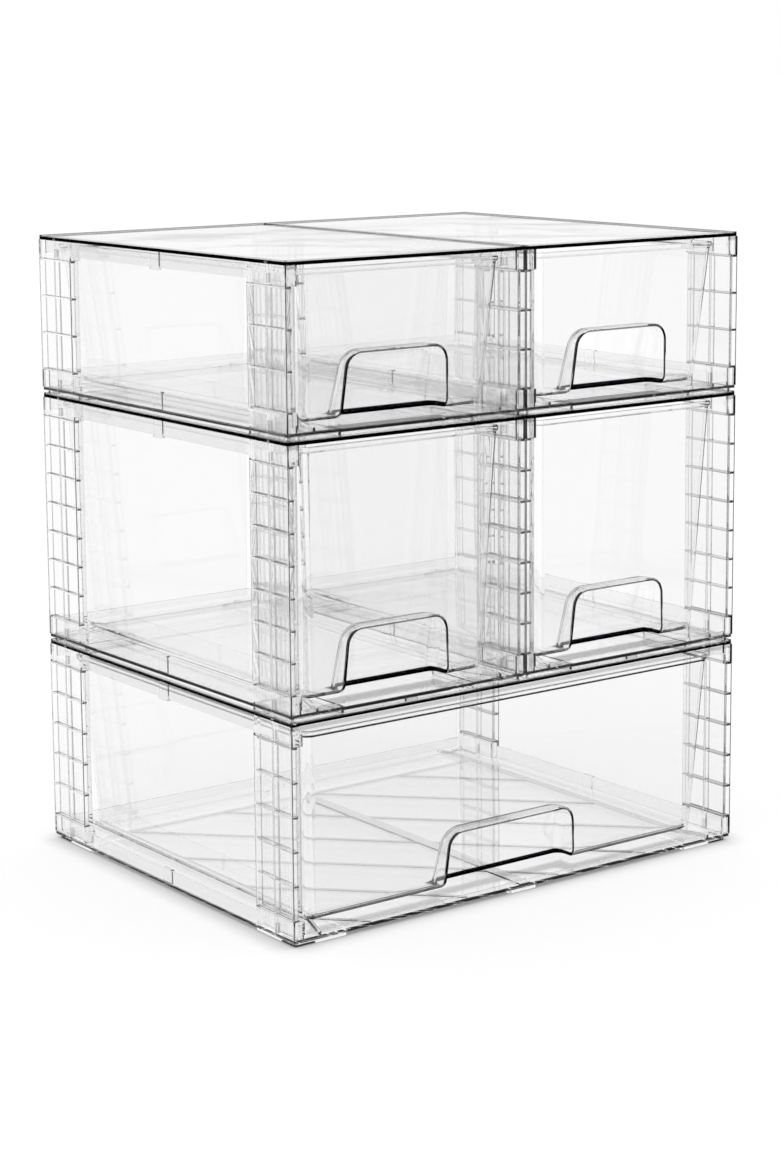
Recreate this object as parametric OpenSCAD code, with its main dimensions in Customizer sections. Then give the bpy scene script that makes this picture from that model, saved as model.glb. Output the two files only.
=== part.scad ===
// Stackable clear drawer organiser: a wide drawer box below, two medium ones on it, two small ones on top.
// Every box is a base, a cover, four ribbed corner posts that plug into both, and one moulded drawer.
// Frame: origin under the middle of the stack on the ground, +X right, +Y to the rear, +Z up.

/* [Stack] */
// Width of a single box
box_w = 209.7; // [180:0.1:300]
// Depth of every box, front to rear
box_d = 338; // [260:1:440]
// Gap between two boxes that stand side by side
pair_gap = 0.6; // [0.4:0.1:3]
// Height of a small box, from its feet to its rim
small_h = 124; // [110:1:180]
// Height of a medium box, from its feet to its rim
medium_h = 198; // [150:1:280]
// Height of the wide box, from its feet to its rim
wide_h = 163; // [125:1:220]
// Outer corner radius of covers and bases
corner_r = 2; // [1:0.5:4]

/* [Cover] */
// Thickness of the cover plate
cover_t = 2.5; // [1.5:0.1:4]
// Height of the stacking rim above the plate
rim_h = 1; // [0.6:0.1:2]
// Width of the stacking rim
rim_w = 2.4; // [1.6:0.1:4]
// Drop of the side and rear skirts below the plate
skirt_h = 11; // [6:0.5:13]
// Thickness of the skirts
skirt_t = 1.8; // [1.2:0.1:2.6]
// Drop of the wide cover's front beam below the plate
beam_h = 6; // [3:0.5:7]
// Thickness of the wide cover's front beam
beam_t = 2.2; // [1.6:0.1:4]
// Width of the locating tabs on the wide cover's front rim
stack_tab_w = 10; // [6:0.5:16]

/* [Base] */
// Thickness of the base plate
base_t = 2.2; // [1.5:0.1:4]
// Height of the feet under the base plate
foot_h = 3.4; // [2.6:0.1:6]
// Length of a corner foot, along the front
foot_x = 45; // [25:1:60]
// Length of a corner foot, along the side
foot_y = 50; // [25:1:70]
// Width of the middle feet under the wide base
mid_foot_w = 26; // [16:1:40]
// Length of the middle feet, front to rear
mid_foot_d = 13; // [10:1:40]
// Wall of the hollow feet
foot_wall = 2; // [1.4:0.1:3]
// Height of the side and rear rails above the plate
rail_h = 12.4; // [8:0.2:13]
// Height of the wide base's rails above the plate
wide_rail_h = 10.2; // [7:0.2:13]
// Thickness of the rails
rail_t = 2; // [1.4:0.1:3]
// Height of the front lip and of the drawer glides above the plate
guide_h = 3; // [1.6:0.1:4]
// Thickness of the front lip and of the glides
guide_t = 2; // [1.4:0.1:3]
// Distance from the box's side to the drawer glides
glide_in = 33; // [31:0.5:45]
// How far a glide's lead-in flares outwards at the front
lead_out = 11; // [4:0.5:14]
// Length of a glide's flared lead-in
lead_l = 32; // [16:1:45]
// Height of the stiffening ribs on the wide base
stiff_h = 1.2; // [0.6:0.1:1.6]
// Thickness of the stiffening ribs on the wide base
stiff_t = 2; // [1.2:0.1:3]
// Distance along the front from the left glide to the first slanting rib
stiff_first = 32; // [10:1:80]
// Spacing of the slanting stiffening ribs along the width
stiff_pitch = 88; // [60:1:120]
// Width of the middle band on the wide base
band_w = 10; // [6:0.5:20]

/* [Posts] */
// Depth of a post, front to rear
post_d = 47.6; // [36:0.2:60]
// Thickness of a post, outer face to inner face
post_t = 7.4; // [6.8:0.1:10]
// Thickness of a post's inner web
web_t = 2.8; // [1.8:0.1:3.5]
// Thickness of a post's front and rear walls
wall_t = 1.9; // [1.4:0.1:3]
// Thickness of the upright rib in the middle of a post
upright_t = 1.8; // [1.2:0.1:3]
// Thickness of a post's level ribs
level_t = 1.4; // [1:0.1:2.4]
// Thickness of the two fork ribs on a plug, on either side of the socket's keying rib
fork_t = 1.2; // [0.8:0.1:2]
// Number of open bays in a small post
small_bays = 3; // [2:1:5]
// Number of open bays in a medium post
medium_bays = 7; // [4:1:10]
// Number of open bays in a wide box's post
wide_bays = 5; // [3:1:8]

/* [Sockets] */
// Height of a base socket above the plate
base_socket_h = 13.6; // [13:0.2:18]
// Drop of a cover socket below the plate
cover_socket_h = 14.4; // [13:0.2:18]
// Wall of the sockets
socket_wall = 1.6; // [1.2:0.1:2.4]
// Clearance round a post's plug in its socket
plug_gap = 0.2; // [0.1:0.05:0.4]
// Thickness of the keying rib in the middle of a socket
key_t = 1.4; // [1:0.1:2]

/* [Drawers] */
// Wall of the drawers
drawer_wall = 2; // [1.4:0.1:3]
// Running gap under the drawer
run_gap = 0.4; // [0.3:0.1:1]
// Drop from a single box's rim to its drawer's lip
lip_drop = 7; // [5:0.5:12]
// Drop from the wide box's rim to its drawer's lip
wide_lip_drop = 11; // [10.5:0.5:16]
// Inset of a drawer's side at the top, from the box's side
side_in_top = 16.5; // [14:0.5:20]
// Inset of a drawer's side at the bottom, from the box's side
side_in_bottom = 24.5; // [21:0.5:27]
// Set-back of a drawer's front at the top
front_in_top = 8; // [6:0.5:12]
// Set-back of a drawer's front at the bottom
front_in_bottom = 17.5; // [13:0.5:26]
// Gap behind a single box's drawer at the top
rear_in_top = 5; // [4.5:0.5:12]
// Gap behind the wide drawer at the top
wide_rear_in_top = 15; // [4.5:0.5:25]
// Extra gap behind a drawer at the bottom
rear_draft = 8; // [2:0.5:16]
// Upright corner radius of the drawers
drawer_corner_r = 8; // [5:0.5:14]
// Bottom edge radius of the drawers
drawer_edge_r = 8; // [4:0.5:12]
// Height of the lip that runs round a drawer's top
lip_h = 3; // [2:0.2:5]
// How far the lip stands out from the drawer's wall
lip_out = 1.4; // [0.8:0.1:2]

/* [Finger recess] */
// Width of a single drawer's finger recess at the bottom
pull_w = 92; // [60:1:110]
// Width of the wide drawer's finger recess at the bottom
wide_pull_w = 123; // [80:1:160]
// Height of a single drawer's finger recess
pull_h = 46; // [28:1:55]
// Height of the wide drawer's finger recess
wide_pull_h = 42; // [28:1:55]
// How much each side of the recess leans in at the top
pull_lean = 2.5; // [0:0.5:6]
// Depth of the recess at the bottom
pull_deep = 20; // [12:0.5:26]
// Depth of the recess at the top
pull_shallow = 12; // [6:0.5:18]
// Top corner radius of the recess
pull_r = 11; // [6:0.5:14]
// Radius of the flare where the recess meets the drawer's bottom edge
flare_r = 4; // [2:0.5:6]
// Radius of the upright corners at the back of the recess
back_r = 7; // [3:0.5:9]

/* [Hidden] */
SMALL = 0;
MEDIUM = 1;
WIDE = 2;

// One row for each box: its name, its size and which side of the stack it stands on.
BOXES = [
    ["wide", WIDE, "middle"],
    ["medium_left", MEDIUM, "left"],
    ["medium_right", MEDIUM, "right"],
    ["small_left", SMALL, "left"],
    ["small_right", SMALL, "right"]
];
PIECES = ["base", "cover", "post_front_left", "post_front_right", "post_rear_left", "post_rear_right",
          "drawer"];

wide_w = 2 * box_w + pair_gap;
box_widths = [box_w, box_w, wide_w];
box_heights = [small_h, medium_h, wide_h];
box_bays = [small_bays, medium_bays, wide_bays];
box_rail_h = [rail_h, rail_h, wide_rail_h];
box_lip_drop = [lip_drop, lip_drop, wide_lip_drop];
box_rear_in = [rear_in_top, rear_in_top, wide_rear_in_top];
box_pull_w = [pull_w, pull_w, wide_pull_w];
box_pull_h = [pull_h, pull_h, wide_pull_h];

// A box's feet stand on the plate of the cover below, inside that cover's rim.
medium_z = wide_h - rim_h;
small_z = medium_z + medium_h - rim_h;
box_levels = [small_z, medium_z, 0];

// Levels inside one box, from the bottom of its feet.
floor_z = foot_h + base_t;
socket_top_z = floor_z + base_socket_h;
drawer_z = floor_z + guide_h + run_gap;

// Sockets wrap a post's plug, which is as thick as the post but for the outer wall.
socket_t = post_t + plug_gap + socket_wall;

// Clearance between a box's feet and the rim of the cover that they stand in.
nest_gap = 0.4;
foot_in = rim_w + nest_gap;

// Locating tabs at mid-depth: width, how far they stand in, and their reach past a skirt or a rail.
tab_w = 12;
tab_in = 1.2;
tab_drop = 2;
tab_head = 0.6;

clear_colour = [0.93, 0.93, 0.95, 0.45];
post_colour = [0.88, 0.88, 0.93, 0.55];
drawer_colour = [0.95, 0.95, 0.96, 0.4];

// Facets of a small round corner, and steps in a quarter turn of a moulded edge.
circle_facets = 32;
arc_steps = 5;
least_r = 1;
eps = 0.01;

function roof_z(size) = box_heights[size] - rim_h - cover_t;
function socket_foot_z(size) = roof_z(size) - cover_socket_h;
function drawer_h(size) = box_heights[size] - box_lip_drop[size] - drawer_z;
function mix(a, b, t) = a + (b - a) * t;

// ---------- shared shapes ----------

// Flat plate with round corners, made of true arcs.
module round_plate(w, d, r, h) {
    linear_extrude(h) {
        translate([r, 0]) square([w - 2 * r, d]);
        translate([0, r]) square([w, d - 2 * r]);
        for (x = [r, w - r], y = [r, d - r]) translate([x, y]) circle(r, $fn = circle_facets);
    }
}

// Copies its children to the right-hand side of a box as their mirror image.
module both_sides(w) {
    children();
    translate([w, 0, 0]) mirror([1, 0, 0]) children();
}

// Puts a left front corner's shape on all four corners: rear copies are shifted, right ones mirrored.
module at_posts(w) {
    both_sides(w) {
        children();
        translate([0, box_d - post_d, 0]) children();
    }
}

// Closed skin over a list of rings that all have the same number of points.
module skin(rings) {
    count = len(rings[0]);
    last = len(rings) - 1;
    first_cap = [for (i = [0 : count - 1]) i];
    last_cap = [for (i = [count - 1 : -1 : 0]) last * count + i];
    walls = [for (j = [0 : last - 1]) for (i = [0 : count - 1])
        let (a = j * count + i, b = j * count + (i + 1) % count)
        each [[a, b + count, b], [a, a + count, b + count]]];
    polyhedron(points = [for (ring = rings) each ring], faces = concat([first_cap, last_cap], walls));
}

// Solid through a stack of convex rings, one convex band at a time.
module loft(rings) {
    for (i = [0 : len(rings) - 2]) hull() skin([rings[i], rings[i + 1]]);
}

// ---------- sockets and posts ----------

// Upright socket, open at the top, that a post's plug pushes into. A rib inside keys the plug.
module socket(h) {
    pocket_x = post_t + plug_gap - socket_wall;
    difference() {
        cube([socket_t, post_d, h]);
        translate([socket_wall, socket_wall, -eps])
            cube([pocket_x, post_d - 2 * socket_wall, h + 2 * eps]);
    }
    translate([socket_wall - eps, (post_d - key_t) / 2, 0])
        cube([post_t - web_t - plug_gap - socket_wall, key_t, h - socket_wall]);
}

// Web and end walls of a post seen from above. inset draws them in, as on a plug.
module post_channel(inset) {
    rear = post_d - inset;
    translate([post_t - web_t, inset]) square([web_t, rear - inset]);
    for (y = [inset, rear - wall_t]) translate([inset, y]) square([post_t - inset, wall_t]);
}

// Plug at a post's end seen from above: the fork between its walls straddles the keying rib.
module plug_outline() {
    plug_in = socket_wall + plug_gap;
    fork_out = key_t / 2 + plug_gap;
    post_channel(plug_in);
    for (y = [-fork_out - fork_t, fork_out])
        translate([plug_in, post_d / 2 + y]) square([post_t - plug_in, fork_t]);
}

// Left-hand post: a ladder of open bays that face outwards, and a plug at each end.
module post(size) {
    foot = socket_top_z;
    head = socket_foot_z(size);
    bays = box_bays[size];
    pitch = (head - foot - level_t) / bays;
    color(post_colour) {
        translate([0, 0, foot]) linear_extrude(head - foot) {
            post_channel(0);
            translate([0, (post_d - upright_t) / 2]) square([post_t, upright_t]);
        }
        for (i = [0 : bays]) translate([0, 0, foot + i * pitch]) cube([post_t, post_d, level_t]);
        translate([0, 0, floor_z + plug_gap]) linear_extrude(foot - floor_z) plug_outline();
        translate([0, 0, head - plug_gap]) linear_extrude(roof_z(size) - head) plug_outline();
    }
}

// ---------- base ----------

// Hollow foot, open underneath.
module foot(w, d) {
    difference() {
        round_plate(w, d, corner_r, foot_h + eps);
        translate([foot_wall, foot_wall, -eps])
            round_plate(w - 2 * foot_wall, d - 2 * foot_wall, corner_r / 2, foot_h + eps);
    }
}

// Drawer glide on the base plate, with a lead-in that flares outwards at the front.
module glide() {
    run = box_d - rail_t - lead_l;
    translate([glide_in, lead_l, floor_z - eps]) cube([guide_t, run, guide_h + eps]);
    translate([0, 0, floor_z - eps]) linear_extrude(guide_h + eps)
        polygon([
            [glide_in, lead_l + eps],
            [glide_in - lead_out, guide_t],
            [glide_in - lead_out + guide_t, guide_t],
            [glide_in + guide_t, lead_l + eps]
        ]);
}

// Slanting ribs, rear rib and middle band that stiffen the wide base.
module stiffening(w) {
    left = glide_in + guide_t;
    right = w - left;
    front = guide_t;
    rear = box_d - post_d;
    translate([0, 0, floor_z - eps]) linear_extrude(stiff_h + eps) {
        intersection() {
            translate([left, front]) square([right - left, rear - front]);
            for (x = [left + stiff_first : stiff_pitch : right + rear])
                translate([x, front]) rotate(45) square([stiff_t, (right - left + rear) * sqrt(2)]);
        }
        translate([left, rear]) square([right - left, stiff_t]);
        translate([(w - band_w) / 2, front]) square([band_w, rear - front]);
    }
}

// Side rail of a base between its sockets, with a locating tab at mid-depth.
module side_rail(rail) {
    translate([0, post_d - eps, floor_z - eps])
        cube([rail_t, box_d - 2 * post_d + 2 * eps, rail + eps]);
    translate([0, (box_d - tab_w) / 2, floor_z - eps])
        cube([rail_t + tab_in, tab_w, rail + tab_head + eps]);
}

module base(size) {
    w = box_widths[size];
    rail = box_rail_h[size];
    color(clear_colour) {
        translate([0, 0, foot_h]) round_plate(w, box_d, corner_r, base_t);
        for (x = [foot_in, w - foot_in - foot_x], y = [foot_in, box_d - foot_in - foot_y])
            translate([x, y, 0]) foot(foot_x, foot_y);
        at_posts(w) translate([0, 0, floor_z - eps]) socket(base_socket_h + eps);
        both_sides(w) {
            side_rail(rail);
            glide();
        }
        // Rear rail and front lip run between the sockets.
        translate([socket_t - eps, box_d - rail_t, floor_z - eps])
            cube([w - 2 * socket_t + 2 * eps, rail_t, rail + eps]);
        translate([socket_t - eps, 0, floor_z - eps])
            cube([w - 2 * socket_t + 2 * eps, guide_t, guide_h + eps]);
        if (size == WIDE) {
            stiffening(w);
            for (y = [foot_in, box_d - foot_in - mid_foot_d])
                translate([(w - mid_foot_w) / 2, y, 0]) foot(mid_foot_w, mid_foot_d);
        }
    }
}

// ---------- cover ----------

// Skirt of a cover between its sockets, with a locating tab at mid-depth.
module side_skirt(top_z) {
    translate([0, post_d - eps, top_z - skirt_h])
        cube([skirt_t, box_d - 2 * post_d + 2 * eps, skirt_h + eps]);
    translate([0, (box_d - tab_w) / 2, top_z - skirt_h - tab_drop])
        cube([skirt_t + tab_in, tab_w, skirt_h + tab_drop + eps]);
}

module cover(size) {
    w = box_widths[size];
    top_z = roof_z(size);
    rim_z = box_heights[size];
    color(clear_colour) {
        difference() {
            translate([0, 0, top_z]) round_plate(w, box_d, corner_r, cover_t + rim_h);
            translate([rim_w, rim_w, top_z + cover_t])
                round_plate(w - 2 * rim_w, box_d - 2 * rim_w, corner_r / 2, rim_h + eps);
        }
        at_posts(w) translate([0, 0, top_z + eps]) mirror([0, 0, 1]) socket(cover_socket_h + eps);
        both_sides(w) side_skirt(top_z);
        translate([socket_t - eps, box_d - skirt_t, top_z - skirt_h])
            cube([w - 2 * socket_t + 2 * eps, skirt_t, skirt_h + eps]);
        if (size == WIDE) {
            translate([socket_t - eps, 0, top_z - beam_h])
                cube([w - 2 * socket_t + 2 * eps, beam_t, beam_h + eps]);
            // Tabs under the front edges of the two boxes that stand on this cover.
            for (x = [box_w / 2, w - box_w / 2])
                translate([x - stack_tab_w / 2, 0, rim_z - eps])
                    cube([stack_tab_w, rim_w, foot_h - rim_h - nest_gap + eps]);
        }
    }
}

// ---------- drawer ----------

// Corner arc of an outline, as points.
function arc(cx, cy, r, from) =
    [for (i = [0 : arc_steps]) let (a = from + i * 90 / arc_steps) [cx + r * cos(a), cy + r * sin(a)]];

// A drawer's outline at one height. It leans out from bottom to top, and out is an offset outwards.
function drawer_ring(size, z, out) =
    let (
        t = z / drawer_h(size),
        w = box_widths[size],
        side = mix(side_in_bottom, side_in_top, t) - out,
        front = mix(front_in_bottom, front_in_top, t) - out,
        rear = box_d - mix(box_rear_in[size] + rear_draft, box_rear_in[size], t) + out,
        r = max(drawer_corner_r + out, least_r),
        flat = concat(
            arc(side + r, front + r, r, 180),
            arc(w - side - r, front + r, r, 270),
            arc(w - side - r, rear - r, r, 0),
            arc(side + r, rear - r, r, 90)
        )
    )
    [for (p = flat) [p[0], p[1], drawer_z + z]];

// Rings of the rounded bottom edge of a drawer. in is how far inside the outer face they lie.
function edge_rings(size, in) =
    let (r = drawer_edge_r - in)
    [for (i = [0 : arc_steps])
        let (a = i * 90 / arc_steps)
        drawer_ring(size, in + r * (1 - cos(a)), -in - r * (1 - sin(a)))];

// Outer face of a drawer: the bottom edge, the leaning wall and the lip rolled round the top.
function outer_rings(size) =
    let (h = drawer_h(size), bead = lip_out / 2)
    concat(edge_rings(size, 0), [
        drawer_ring(size, h - lip_h - lip_out, 0),
        drawer_ring(size, h - lip_h, lip_out),
        drawer_ring(size, h - bead, lip_out),
        drawer_ring(size, h, lip_out - bead)
    ]);

// Inner face of a drawer, carried up past the top.
function inner_rings(size) =
    concat(edge_rings(size, drawer_wall), [drawer_ring(size, drawer_h(size) + drawer_wall, -drawer_wall)]);

// Arch of a finger recess, flared at the foot. It is drawn in x and z, and grow offsets it outwards.
function pull_arch(size, grow) =
    let (
        w = box_pull_w[size] / 2 + grow,
        h = box_pull_h[size] + grow,
        r = pull_r + grow,
        f = max(flare_r - grow, least_r),
        top = w - pull_lean,
        below = 2 * drawer_wall,
        right = concat(
            [[w + f, -below]],
            [for (i = [1 : arc_steps]) let (a = i * 90 / arc_steps) [w + f - f * sin(a), f - f * cos(a)]],
            [for (i = [0 : arc_steps])
                let (a = i * 90 / arc_steps)
                [top - r + r * cos(a), h - r + r * sin(a)]]
        ),
        last = len(right) - 1
    )
    concat([for (p = right) [-p[0], p[1]]], [for (i = [last : -1 : 0]) right[i]]);

// One arch of a finger recess. It lies ahead of the front panel, or a turn round the back corners.
function pull_ring(size, grow, ahead, turn) =
    [for (p = pull_arch(size, grow))
        let (
            panel = mix(front_in_bottom, front_in_top, p[1] / drawer_h(size)),
            depth = mix(pull_deep, pull_shallow, p[1] / box_pull_h[size]) + grow,
            corner = min(back_r, depth),
            narrow = (1 - cos(turn)) * corner / (box_pull_w[size] / 2 + grow),
            y = panel + (ahead ? -front_in_bottom : depth - corner + corner * sin(turn))
        )
        [box_widths[size] / 2 + p[0] * (1 - narrow), y, drawer_z + p[1]]
    ];

// Finger recess as a solid. Its back leans forward at the top and has round upright corners.
module pull_recess(size, grow) {
    skin(concat(
        [pull_ring(size, grow, true, 0)],
        [for (i = [0 : arc_steps]) pull_ring(size, grow, false, i * 90 / arc_steps)]
    ));
}

// One moulded tub: leaning walls, rounded bottom, rolled lip and a finger recess pressed into the front.
module drawer(size) {
    color(drawer_colour) difference() {
        loft(outer_rings(size));
        difference() {
            loft(inner_rings(size));
            pull_recess(size, drawer_wall);
        }
        pull_recess(size, 0);
    }
}

// ---------- the stack ----------

// Moves a box from its own left front corner to its place in the stack.
module place(box) {
    size = box[1];
    x = box[2] == "right" ? pair_gap / 2 : -wide_w / 2;
    translate([x, -box_d / 2, box_levels[size]]) children();
}

// Turns a left front post into the post that the piece's name asks for.
module post_at(size, piece) {
    right = piece == "post_front_right" || piece == "post_rear_right";
    rear = piece == "post_rear_left" || piece == "post_rear_right";
    translate([right ? box_widths[size] : 0, rear ? box_d - post_d : 0, 0])
        mirror([right ? 1 : 0, 0, 0]) post(size);
}

module piece_of(box, piece) {
    size = box[1];
    place(box) {
        if (piece == "base") base(size);
        else if (piece == "cover") cover(size);
        else if (piece == "drawer") drawer(size);
        else post_at(size, piece);
    }
}

for (box = BOXES) for (piece = PIECES)
    piece_of(box, piece);
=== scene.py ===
"""Studio picture of a stack of clear plastic drawer boxes: materials, edges, stage, light and camera."""
import math

import bpy
from mathutils import Matrix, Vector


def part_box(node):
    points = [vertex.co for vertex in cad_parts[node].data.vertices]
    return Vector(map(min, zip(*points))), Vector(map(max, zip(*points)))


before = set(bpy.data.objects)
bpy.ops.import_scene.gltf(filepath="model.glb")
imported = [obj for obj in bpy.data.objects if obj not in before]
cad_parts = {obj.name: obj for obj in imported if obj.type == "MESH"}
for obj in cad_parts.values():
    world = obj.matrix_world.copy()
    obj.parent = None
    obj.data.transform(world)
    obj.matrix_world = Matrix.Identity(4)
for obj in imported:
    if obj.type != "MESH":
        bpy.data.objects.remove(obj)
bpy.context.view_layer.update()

# ---------- sizes, in metres ----------

MM = 0.001

# Moulded edges: how near points are joined, the width of the rounding, and the angle from which it is made.
WELD = 0.02 * MM
EDGE_ANGLE = math.radians(28)
EDGE_WIDTH = {"drawer": 0.5 * MM, "post": 0.2 * MM, "case": 0.35 * MM}

# Boxes: half the depth, half the width of the stack, where the plates lie above the lowest point of a base
# and of a cover, thickness of the rails, and up to where the keying ribs reach.
BOX_HALF_DEPTH = 169 * MM
STACK_HALF_WIDTH = 210 * MM
BASE_PLATE = (3.4 * MM, 5.6 * MM)
COVER_PLATE = (14.4 * MM, 16.9 * MM)
RAIL = 2.4 * MM
KEY_TOP = {"base": 13 * MM, "cover": 8 * MM}

# Sockets: thickness, wall, and thickness of the keying rib.
SOCKET = 9.2 * MM
SOCKET_WALL = 1.6 * MM
KEY = 1.4 * MM

# Posts: depth, width, thickness of the upright in the middle, how far the bays open, the ends below and above
# the bays, thickness of the level ribs, and number of bays.
POST_DEPTH = 47.6 * MM
POST = 7.4 * MM
UPRIGHT = 1.8 * MM
BAY_DEPTH = 4.6 * MM
POST_FOOT = 13.4 * MM
POST_HEAD = 14.2 * MM
LEVEL_RIB = 1.4 * MM
BAYS = {"small": 3, "medium": 7, "wide": 5}

# Drawers: set-back of the front at the bottom and the top, and the finger recess of a single and of the wide
# one: half its width and its height, how much its sides lean in, its rounding, the flare at its foot, and how
# deep it is at the foot and at the top.
FRONT_IN_BOTTOM = 17.5 * MM
FRONT_IN_TOP = 8 * MM
PULL_SINGLE = {"half_width": 46 * MM, "height": 46 * MM}
PULL_WIDE = {"half_width": 61.5 * MM, "height": 42 * MM}
PULL_LEAN = 2.5 * MM
PULL_RADIUS = 11 * MM
PULL_FLARE = 4 * MM
PULL_DEEP = 20 * MM
PULL_SHALLOW = 12 * MM

# ---------- painted shade: dark lines and bands that stand in for refraction and reflection at edges, where they lie, in metres, and how dark they are, from 0 to 1 ---

# Softness of the painted lines' borders.
BLUR = 0.25 * MM

# How far a rounded edge turns away from the axes before it counts as an edge, and how softly.
EDGE_TURN = (0.96, 0.04)

# Base and cover, all painted shade: height of the black line on the plate's edge, half the light gap that a
# keying rib leaves in it, height of the grey band under a cover's front edge, width of the line at a socket's
# front corner and what is added to it at the stack's right end, and the height and reach of the line at the
# corner feet.
BASE_LINE = 1.1 * MM
COVER_LINE = {"small": 2.2 * MM, "medium": 2.2 * MM, "wide": 1.6 * MM}
KEY_GAP = 1.7 * MM
BEAM_BAND = 2.8 * MM
CORNER_LINE = 0.7 * MM
END_CORNER_MORE = 1.1 * MM
FOOT_EDGE = {"height": 1.2 * MM, "reach": 20 * MM}
PLATE_DARK = {"base": 0.65, "cover": 1.0}
BAND_DARK = {"base": 0.03, "cover": 0.07}
CASE_DARK = {"edge": 0.14, "upright_edge_more": 0.13, "key": 0.35, "corner": 0.65, "right_corner_more": 0.3,
             "rim": 0.15, "far_rim_more": 0.25, "under_plate": 0.35, "foot_edge": 0.9, "rib": 0.2,
             "wall_more": 0.005, "all": 0.002}

# Posts, painted shade: how deep a line on an outer face reaches in, width of the front corner's line, and how
# dark the lines are on every post, and on left posts, right posts and the ones at the stack's right end.
SKIN = 0.5 * MM
POST_CORNER = {"left": 0.5 * MM, "right": 1 * MM, "end": 1 * MM}
POST_DARK = {"edge": 0.12, "corner": 0.8, "rear_edge": 0.42, "upright": 0.3, "root": 0.45, "dash": 0.85,
             "all": 0.008}
POST_SIDE_DARK = {"left": {"inner_edge": 0.12, "web": 0.012, "rung": 0.02},
                  "right": {"inner_edge": 0.4, "web": 0.04, "rung": 0.15},
                  "end": {"inner_edge": 0.4, "web": 0.04, "rung": 0.35}}

# Drawers, painted shade: width of the line round the recess and its depth behind the front, height of the
# line at the foot of the recess's back and of its left side, of the line under the front and how far it
# reaches back, where the lip's line lies below the top, and the reach of the dot at its right end.
ARCH_LINE = 1.7 * MM
ARCH_DEPTH = 1.2 * MM
FOOT_LINE = 4.2 * MM
SIDE_FOOT_LINE = 1.2 * MM
FRONT_LINE = {"small": 1.2 * MM, "medium": 1.8 * MM, "wide": 2.2 * MM}
FRONT_EDGE_REACH = 8 * MM
LIP_UNDERSIDE = (4.4 * MM, 3 * MM)
LIP_DOT = 6 * MM
FRONT_DARK = {"small": 0.85, "medium": 0.85, "wide": 0.95}
LIP_DARK = {"small": 0.12, "medium": 0.12, "wide": 1.0}
DRAWER_DARK = {"outline": 0.55, "recess_top": 0.16, "lip_dot": 0.9, "bend": 0.08, "front_wall": 0.026,
               "side_wall": 0.004, "all": 0.003}

# ---------- camera ----------

# From the photograph's vanishing lines and the corners of the stack.
CAMERA_PLACE = (-1.2022, -1.6237, 0.6226)
CAMERA_YAW = math.radians(36.56)
CAMERA_PITCH = math.radians(-9.08)
CAMERA_ROLL = math.radians(-0.43)
CAMERA_LENS = 80.57
CAMERA_SENSOR = 36.0
CAMERA_SHIFT_Y = -0.1

# ---------- formulas inside materials ----------


class Value:
    """Number that a material works out at every point, so that its masks are written as formulas."""

    def __init__(self, tree, socket):
        self.tree = tree
        self.socket = socket

    def math(self, operation, *others, clamp=False):
        node = self.tree.nodes.new("ShaderNodeMath")
        node.operation = operation
        node.use_clamp = clamp
        for slot, value in enumerate((self, *others)):
            if isinstance(value, Value):
                self.tree.links.new(value.socket, node.inputs[slot])
            else:
                node.inputs[slot].default_value = value
        return Value(self.tree, node.outputs[0])

    def __add__(self, other):
        return self.math("ADD", other)

    def __sub__(self, other):
        return self.math("SUBTRACT", other)

    def __mul__(self, other):
        return self.math("MULTIPLY", other)

    def __abs__(self):
        return self.math("ABSOLUTE")

    def root(self):
        return self.math("SQRT")

    def larger(self, other):
        return self.math("MAXIMUM", other)

    def smaller(self, other):
        return self.math("MINIMUM", other)

    def above(self, limit, blur=BLUR):
        """1 above the limit and 0 below it, with a soft step."""
        return self.math("MULTIPLY_ADD", 1 / blur, 0.5 - limit / blur, clamp=True)

    def below(self, limit, blur=BLUR):
        """1 below the limit and 0 above it, with a soft step."""
        return self.math("MULTIPLY_ADD", -1 / blur, 0.5 + limit / blur, clamp=True)

    def between(self, low, high, blur=BLUR):
        return self.above(low, blur) * self.below(high, blur)


def place_and_normal(tree):
    """The point's x, y and z in metres, and its normal's x, y and z, both in the object's own frame."""
    coordinates = tree.nodes.new("ShaderNodeTexCoord")
    values = []
    for output in ("Object", "Normal"):
        split = tree.nodes.new("ShaderNodeSeparateXYZ")
        tree.links.new(coordinates.outputs[output], split.inputs[0])
        values += [Value(tree, socket) for socket in split.outputs]
    return values


# ---------- materials ----------

# Sockets of Blender's Mix node for colours.
MIX_LIGHT, MIX_DARK, MIX_RESULT = 6, 7, 2

# How much light the plastic takes up per metre.
ABSORB = {"drawer": 5, "post": 4, "case": 6}


def new_material(name):
    """An empty node material and a function that adds a node with values on its sockets."""
    material = bpy.data.materials.new(name)
    material.use_nodes = True
    material.node_tree.nodes.clear()

    def add(kind, **values):
        node = material.node_tree.nodes.new(kind)
        for key, value in values.items():
            if hasattr(node, key):
                setattr(node, key, value)
            else:
                node.inputs[key.replace("_", " ")].default_value = value
        return node

    return material, add


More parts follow.
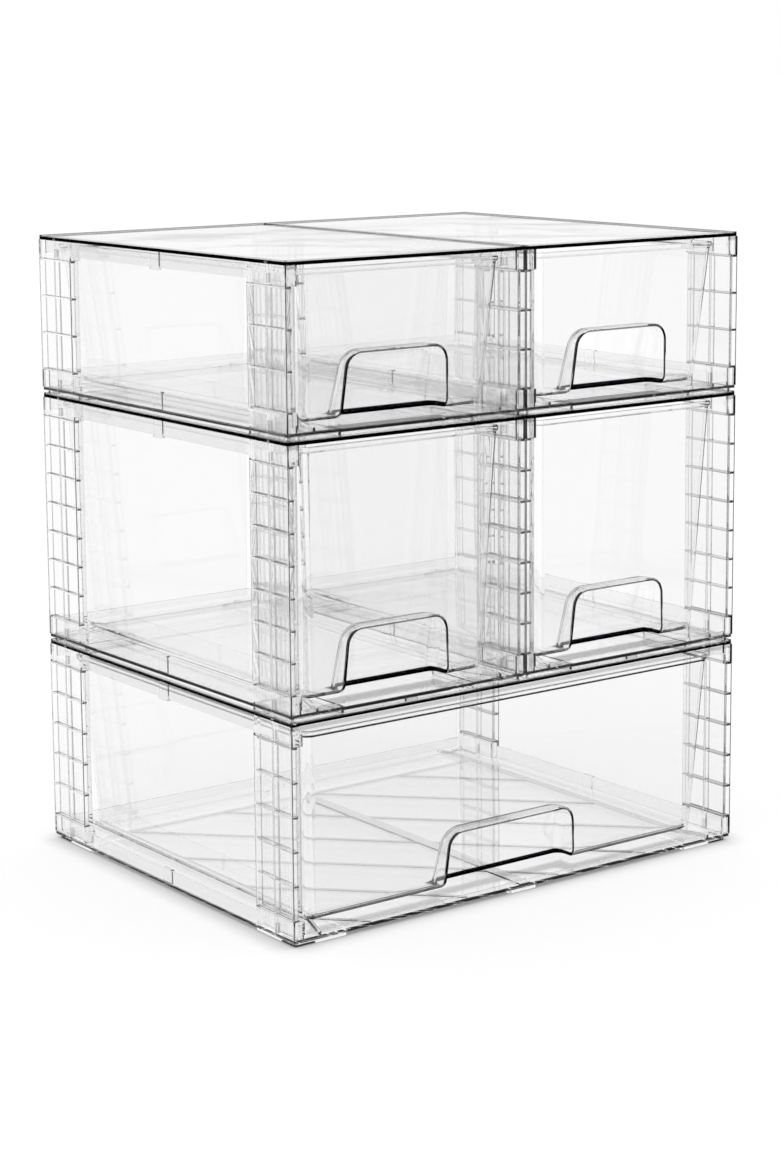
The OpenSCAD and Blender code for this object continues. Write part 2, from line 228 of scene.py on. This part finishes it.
def clear_plastic(name, absorb, painted_shade):
    """Polished clear plastic that loses light along its depth. Light from the lamps passes it.

    The function given last paints shade into the glass's colour at every point: dark lines and bands that
    stand in for refraction and reflection at the plastic's edges. 0 is clear, 1 is a black line.
    """
    material, add = new_material(name)
    tree = material.node_tree
    link = tree.links.new
    glass = add("ShaderNodeBsdfGlass", Roughness=0.0, IOR=1.49)
    clear = add("ShaderNodeBsdfTransparent", Color=(1, 1, 1, 1))
    path = add("ShaderNodeLightPath")
    lamp_or_glass = add("ShaderNodeMixShader")
    volume = add("ShaderNodeVolumeAbsorption", Color=(0.4, 0.4, 0.45, 1), Density=absorb)
    coordinates = add("ShaderNodeTexCoord")
    waves = add("ShaderNodeTexNoise", Scale=14.0, Detail=1.0)
    bump = add("ShaderNodeBump", Strength=0.04, Distance=0.002)
    # Painted shade: the glass's colour runs from white to near black where the mask paints its lines.
    tone = add("ShaderNodeMix", data_type="RGBA")
    tone.inputs[MIX_LIGHT].default_value = (1, 1, 1, 1)
    tone.inputs[MIX_DARK].default_value = (0.012, 0.012, 0.018, 1)
    output = add("ShaderNodeOutputMaterial")
    link(painted_shade(tree).socket, tone.inputs["Factor"])
    link(tone.outputs[MIX_RESULT], glass.inputs["Color"])
    link(coordinates.outputs["Object"], waves.inputs["Vector"])
    link(waves.outputs["Fac"], bump.inputs["Height"])
    link(bump.outputs[0], glass.inputs["Normal"])
    link(path.outputs["Is Shadow Ray"], lamp_or_glass.inputs[0])
    link(glass.outputs[0], lamp_or_glass.inputs[1])
    link(clear.outputs[0], lamp_or_glass.inputs[2])
    link(lamp_or_glass.outputs[0], output.inputs["Surface"])
    link(volume.outputs[0], output.inputs["Volume"])
    return material


def straightness(normal):
    """How squarely a surface faces along one of the three axes: 1 on a flat wall, less on a rounded edge."""
    normal_x, normal_y, normal_z = normal
    return abs(normal_x).larger(abs(normal_y)).larger(abs(normal_z))


def case_painted_shade(name):
    """Painted shade of a base or a cover, standing in for refraction and reflection: black lines on the plate
    edges, grey bands on the rails and skirts, dark socket corners.
    """
    low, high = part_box(name)
    size = name.split("_")[0]
    is_cover = name.endswith("cover")
    kind = "cover" if is_cover else "base"
    plate = COVER_PLATE if is_cover else BASE_PLATE
    middle_up = sum(plate) / 2
    line = COVER_LINE[size] if is_cover else BASE_LINE
    middle = (low[0] + high[0]) / 2
    half_width = (high[0] - low[0]) / 2
    dark = CASE_DARK

    def painted_shade(tree):
        x, y, z, *normal = place_and_normal(tree)
        side_in = abs(x - middle) * -1.0 + half_width
        end_in = abs(y) * -1.0 + BOX_HALF_DEPTH
        up = z - low[2]
        in_front = y.below(0.0)
        key_off = abs(end_in - POST_DEPTH / 2)
        off_plate = up.below(plate[0]) if is_cover else up.above(plate[1])

        upright = abs(normal[2]).below(0.35, 0.2)
        edges = straightness(normal).below(*EDGE_TURN) * (upright * dark["upright_edge_more"] + dark["edge"])

        walls = abs(normal[2]).below(0.5, 0.1)
        no_key = key_off.below(KEY_GAP) * abs(normal[0]).above(0.7, 0.1) * -1.0 + 1.0
        on_plate = up.between(middle_up - line / 2, middle_up + line / 2)
        plate_line = on_plate * walls * no_key * PLATE_DARK[kind]

        side_band = side_in.below(RAIL + MM) * end_in.above(POST_DEPTH)
        end_band = end_in.below(RAIL + MM) * side_in.above(SOCKET)
        band = side_band.larger(end_band) * off_plate * walls * BAND_DARK[kind]

        key = (key_off.below(KEY) * side_in.between(SOCKET_WALL * 0.7, BAY_DEPTH)
               * normal[1].below(-0.5, 0.1) * off_plate * up.below(KEY_TOP[kind]) * dark["key"])

        corner_width = x.above(STACK_HALF_WIDTH - 5 * MM) * END_CORNER_MORE + CORNER_LINE
        corner = (side_in - corner_width).below(0.0) * end_in.below(CORNER_LINE) * in_front * off_plate
        corner = corner * (x.above(-2 * MM) * dark["right_corner_more"] + dark["corner"])

        parts = edges.larger(plate_line).larger(band).larger(key).larger(corner)
        # Covers get painted shade on the rim above the plate, darker along the far side and the stack's right
        # end, and under the front edge. The wide base gets black marks at its corner feet and grey lines on
        # its ribs.
        if is_cover:
            far_side = y.above(BOX_HALF_DEPTH - 3 * MM).larger(x.above(STACK_HALF_WIDTH - 3 * MM))
            rim = up.above(plate[1] + 0.1 * MM) * (far_side * dark["far_rim_more"] + dark["rim"])
            below_plate = up.between(plate[0] - BEAM_BAND, plate[0])
            under_plate = below_plate * end_in.below(1 * MM) * in_front * dark["under_plate"]
            parts = parts.larger(rim).larger(under_plate)
        elif size == "wide":
            foot_edge = (up.below(FOOT_EDGE["height"]) * walls * side_in.below(FOOT_EDGE["reach"])
                         * end_in.below(FOOT_EDGE["reach"]) * dark["foot_edge"])
            above_plate = up.above(plate[1] + 0.2 * MM)
            ribs = above_plate * side_in.above(14 * MM) * end_in.above(6 * MM) * dark["rib"]
            parts = parts.larger(foot_edge).larger(ribs)
        # A faint tint everywhere, with a little painted shade added on the walls.
        return parts.larger(walls * dark["wall_more"] + dark["all"])

    return painted_shade


def post_painted_shade(name):
    """Painted shade lines of a post, standing in for refraction and reflection: at its upright edges and the
    roots of its walls, and a dash where a level rib ends.
    """
    low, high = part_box(name)
    size = name.split("_")[0]
    foot = low[2] + POST_FOOT
    head = high[2] - POST_HEAD
    pitch = (head - foot - LEVEL_RIB) / BAYS[size]
    left = name.endswith("left")
    side = "left" if left else "end" if high[0] > STACK_HALF_WIDTH - MM else "right"
    dark = {**POST_DARK, **POST_SIDE_DARK[side]}

    def painted_shade(tree):
        x, y, z, *normal = place_and_normal(tree)
        side_in = x - low[0] if left else x * -1.0 + high[0]
        front_in = y - low[1]
        rear_in = front_in * -1.0 + POST_DEPTH
        in_bays = z.between(foot - 0.5 * MM, head + 0.5 * MM)
        rib = (z - foot).math("FLOORED_MODULO", pitch).below(LEVEL_RIB)
        outer = side_in.below(SKIN) * in_bays

        edges = straightness(normal).below(*EDGE_TURN) * dark["edge"]
        corner = side_in.below(POST_CORNER[side]) * in_bays * front_in.below(0.6 * MM) * dark["corner"]
        rear_edge = outer * rear_in.below(SKIN) * dark["rear_edge"]

        upright_off = abs(front_in - POST_DEPTH / 2)
        upright_side = upright_off.between(UPRIGHT / 2 - 0.45 * MM, UPRIGHT / 2 + 0.1 * MM)
        upright_edges = outer * upright_side * dark["upright"]

        at_root = side_in.between(BAY_DEPTH - 0.7 * MM, BAY_DEPTH + 0.1 * MM)
        roots = (at_root * abs(normal[1]).above(0.5, 0.1) * front_in.smaller(rear_in).above(1 * MM)
                 * in_bays * dark["root"])

        inner_edge = front_in.below(SKIN) * side_in.above(POST - 0.6 * MM) * in_bays * dark["inner_edge"]
        dash = rib * in_bays * front_in.below(SKIN) * side_in.between(0.8 * MM, BAY_DEPTH) * dark["dash"]
        web = side_in.above(BAY_DEPTH - 0.2 * MM) * abs(normal[0]).above(0.9, 0.05) * in_bays * dark["web"]
        rung = rib * in_bays * side_in.below(BAY_DEPTH) * dark["rung"]

        lines = edges.larger(corner).larger(rear_edge).larger(upright_edges).larger(roots)
        return lines.larger(inner_edge).larger(dash).larger(rung).larger(web).larger(dark["all"])

    return painted_shade


def recess_distance(x, up, middle, pull):
    """Distance in the front view from the outline of a finger recess: above 0 outside it, below 0 inside."""
    across = abs(x - middle)
    straight = pull["height"] - PULL_RADIUS - PULL_FLARE
    side = (up - PULL_FLARE) * (-PULL_LEAN / straight) + pull["half_width"]
    flare_level = (up.smaller(PULL_FLARE) * -1.0 + PULL_FLARE).larger(0.0).smaller(PULL_FLARE)
    flare = ((flare_level * flare_level) * -1.0 + PULL_FLARE ** 2).larger(0.0).root() * -1.0 + PULL_FLARE
    a = across - side - flare + PULL_RADIUS
    b = up - (pull["height"] - PULL_RADIUS)
    out_a = a.larger(0.0)
    out_b = b.larger(0.0)
    return (out_a * out_a + out_b * out_b).root() + a.larger(b).smaller(0.0) - PULL_RADIUS


def drawer_painted_shade(name):
    """Painted shade lines of a drawer, standing in for refraction and reflection: round the finger recess, at
    its foot, under the front, on the lip, at the bends.
    """
    low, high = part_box(name)
    size = name.split("_")[0]
    middle = (low[0] + high[0]) / 2
    foot, top = low[2], high[2]
    pull = PULL_WIDE if size == "wide" else PULL_SINGLE
    front_slope = (FRONT_IN_TOP - FRONT_IN_BOTTOM) / (top - foot)
    front_foot = FRONT_IN_BOTTOM - BOX_HALF_DEPTH
    back_slope = (PULL_SHALLOW - PULL_DEEP) / pull["height"]
    dark = DRAWER_DARK

    def painted_shade(tree):
        x, y, z, *normal = place_and_normal(tree)
        up = z - foot
        distance = recess_distance(x, up, middle, pull)
        behind = y - (up * front_slope + front_foot)
        at_left = (x - middle).below(0.0, 4 * MM)

        # The painted shade line round the recess in the front: thicker at the foot, thinner and fainter at
        # its left.
        low_half = up.below(0.5 * pull["height"], 6 * MM)
        at_top = up.above(pull["height"] - 0.3 * PULL_RADIUS, 3 * MM)
        width = (low_half * (at_left * 2.0 - 1.0) * 0.25 + 0.8) * ARCH_LINE
        strength = (at_left * -1.0 + 1.0) * low_half * -0.35 + at_top * -0.25 + 1.0
        arch = distance.above(0.0) * (distance - width).below(0.0) * behind.below(ARCH_DEPTH) * strength

        # Inside the recess, painted shade: the line at its foot, its far outline, and its top.
        in_recess = distance.below(0.4 * MM) * y.below(front_foot + PULL_DEEP + 0.8 * MM)
        ahead_of_back = up * back_slope + PULL_DEEP - behind
        left_wall = ahead_of_back.above(3 * MM, MM) * at_left
        foot_height = left_wall * (SIDE_FOOT_LINE - FOOT_LINE) + FOOT_LINE
        recess_foot = in_recess * (up - foot_height).below(0.0)
        at_back = ahead_of_back.between(2.2 * MM, 3.4 * MM)
        outline = in_recess * distance.above(-2.5 * MM) * at_left * at_back * dark["outline"]
        recess_top = (distance.between(0.5 * MM, 3 * MM) * behind.between(1.5 * MM, PULL_DEEP)
                      * normal[2].above(0.5, 0.1) * dark["recess_top"])

        front = (up.below(FRONT_LINE[size]) * y.below(front_foot + FRONT_EDGE_REACH) * distance.above(0.0)
                 * FRONT_DARK[size])

        lip_low, lip_high = top - LIP_UNDERSIDE[0], top - LIP_UNDERSIDE[1]
        lip_face = normal[1].below(-0.5, 0.1) * 0.4 + 0.6
        lip = z.between(lip_low, lip_high) * lip_face * LIP_DARK[size]
        lip_end = x.above(high[0] - LIP_DOT) * y.below(low[1] + LIP_DOT)
        lip_dot = lip_end * z.between(lip_low - 1.5 * MM, lip_high + 0.4 * MM) * dark["lip_dot"]

        bend = straightness(normal).between(0.965, 0.985, 0.008) * abs(normal[2]).below(0.3, 0.1)
        bends = bend * distance.above(3.5 * MM) * dark["bend"]

        # Painted shade on the walls: the front walls a little darker than the side walls, over a faint tint
        # everywhere.
        front_wall = abs(normal[1]).above(0.95, 0.05) * (in_recess * -1.0 + 1.0) * dark["front_wall"]
        tone = front_wall + abs(normal[0]).above(0.95, 0.05) * dark["side_wall"] + dark["all"]

        lines = arch.larger(recess_foot).larger(recess_top).larger(outline).larger(front)
        return lines.larger(lip).larger(lip_dot).larger(bends).larger(tone)

    return painted_shade


def dress_nodes():
    """Gives every CAD node its plastic with painted shade lines, and a small moulded rounding on its edges.
    """
    painted_shade_of = {"drawer": drawer_painted_shade, "post": post_painted_shade, "case": case_painted_shade}
    for name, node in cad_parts.items():
        kind = "drawer" if name.endswith("drawer") else "post" if "_post_" in name else "case"
        plastic = clear_plastic(name + "_plastic", ABSORB[kind], painted_shade_of[kind](name))
        node.data.materials.clear()
        node.data.materials.append(plastic)
        for polygon in node.data.polygons:
            polygon.use_smooth = True
            polygon.material_index = 0
        weld = node.modifiers.new("weld", "WELD")
        weld.merge_threshold = WELD
        bevel = node.modifiers.new("moulded_edges", "BEVEL")
        bevel.width = EDGE_WIDTH[kind]
        bevel.segments = 2
        bevel.limit_method = "ANGLE"
        bevel.angle_limit = EDGE_ANGLE
        bevel.use_clamp_overlap = True
        even = node.modifiers.new("even_normals", "WEIGHTED_NORMAL")
        even.keep_sharp = False


# ---------- stage ----------

# Floor: grey of its surface, the light it adds so that it shows as white, and the reach of the painted
# contact shadow.
FLOOR_GREY = (0.4, 0.4, 0.4, 1)
FLOOR_LIFT = 0.64
CONTACT_SHADOW_REACH = 0.02

# World: between which heights it dims for reflections and refraction (sine of the angle), and to how much.
OVERHEAD = (0.55, 0.75)
OVERHEAD_LIGHT = 0.05


def make_floor():
    """Plain white floor that shows as white and keeps the object's shadow. Ambient occlusion paints a darker
    shadow into its added light for camera rays, darkest where the object stands.
    """
    bpy.ops.mesh.primitive_plane_add(size=80, location=(0, 0, 0))
    floor = bpy.context.object
    floor.name = "floor"
    material, add = new_material("floor_white")
    link = material.node_tree.links.new
    shader = add("ShaderNodeBsdfDiffuse", Color=FLOOR_GREY)
    lift = add("ShaderNodeEmission", Color=(1, 1, 1, 1))
    contact = add("ShaderNodeAmbientOcclusion", Distance=CONTACT_SHADOW_REACH)
    strength = add("ShaderNodeMix")
    strength.inputs["A"].default_value = FLOOR_LIFT
    both = add("ShaderNodeAddShader")
    seen = add("ShaderNodeMixShader")
    path = add("ShaderNodeLightPath")
    output = add("ShaderNodeOutputMaterial")
    # Painted shadow: for camera rays the floor's added light drops where ambient occlusion finds the object
    # near.
    contact_shadowed_lift = Value(material.node_tree, contact.outputs["AO"]) * FLOOR_LIFT
    link(path.outputs["Is Camera Ray"], strength.inputs["Factor"])
    link(contact_shadowed_lift.socket, strength.inputs["B"])
    link(strength.outputs[0], lift.inputs["Strength"])
    link(shader.outputs[0], both.inputs[0])
    link(lift.outputs[0], both.inputs[1])
    link(path.outputs["Is Diffuse Ray"], seen.inputs[0])
    link(both.outputs[0], seen.inputs[1])
    link(shader.outputs[0], seen.inputs[2])
    link(seen.outputs[0], output.inputs["Surface"])
    floor.data.materials.append(material)


def make_world():
    """White round the horizon, dark overhead for reflections, and a plain level of light on the rest."""
    world = bpy.data.worlds.new("studio")
    bpy.context.scene.world = world
    world.use_nodes = True
    tree = world.node_tree
    tree.nodes.clear()
    link = tree.links.new
    coordinates = tree.nodes.new("ShaderNodeTexCoord")
    split = tree.nodes.new("ShaderNodeSeparateXYZ")
    ramp = tree.nodes.new("ShaderNodeMapRange")
    ramp.inputs["From Min"].default_value = OVERHEAD[0]
    ramp.inputs["From Max"].default_value = OVERHEAD[1]
    ramp.inputs["To Min"].default_value = 1.0
    ramp.inputs["To Max"].default_value = OVERHEAD_LIGHT
    path = tree.nodes.new("ShaderNodeLightPath")
    see = tree.nodes.new("ShaderNodeMath")
    see.operation = "MAXIMUM"
    strength = tree.nodes.new("ShaderNodeMix")
    strength.inputs["A"].default_value = 1.0
    background = tree.nodes.new("ShaderNodeBackground")
    background.inputs["Color"].default_value = (1, 1, 1, 1)
    output = tree.nodes.new("ShaderNodeOutputWorld")
    link(coordinates.outputs["Generated"], split.inputs[0])
    link(split.outputs["Z"], ramp.inputs["Value"])
    link(path.outputs["Is Glossy Ray"], see.inputs[0])
    link(path.outputs["Is Transmission Ray"], see.inputs[1])
    link(see.outputs[0], strength.inputs["Factor"])
    link(ramp.outputs[0], strength.inputs["B"])
    link(strength.outputs[0], background.inputs["Strength"])
    link(background.outputs[0], output.inputs["Surface"])


def make_camera():
    """Camera at the photograph's viewing angle."""
    data = bpy.data.cameras.new("camera")
    data.lens = CAMERA_LENS
    data.sensor_width = CAMERA_SENSOR
    data.shift_y = CAMERA_SHIFT_Y
    camera = bpy.data.objects.new("camera", data)
    bpy.context.scene.collection.objects.link(camera)
    turn = (Matrix.Rotation(-CAMERA_YAW, 4, "Z") @ Matrix.Rotation(math.pi / 2 + CAMERA_PITCH, 4, "X")
            @ Matrix.Rotation(CAMERA_ROLL, 4, "Z"))
    camera.matrix_world = Matrix.Translation(CAMERA_PLACE) @ turn
    bpy.context.scene.camera = camera


def set_scene():
    """Colour handling, and enough bounces for light to cross every wall of the stack."""
    scene = bpy.context.scene
    scene.view_settings.view_transform = "Standard"
    scene.cycles.max_bounces = 40
    scene.cycles.transmission_bounces = 40
    scene.cycles.glossy_bounces = 12
    scene.cycles.transparent_max_bounces = 64


dress_nodes()
make_floor()
make_world()
make_camera()
set_scene()
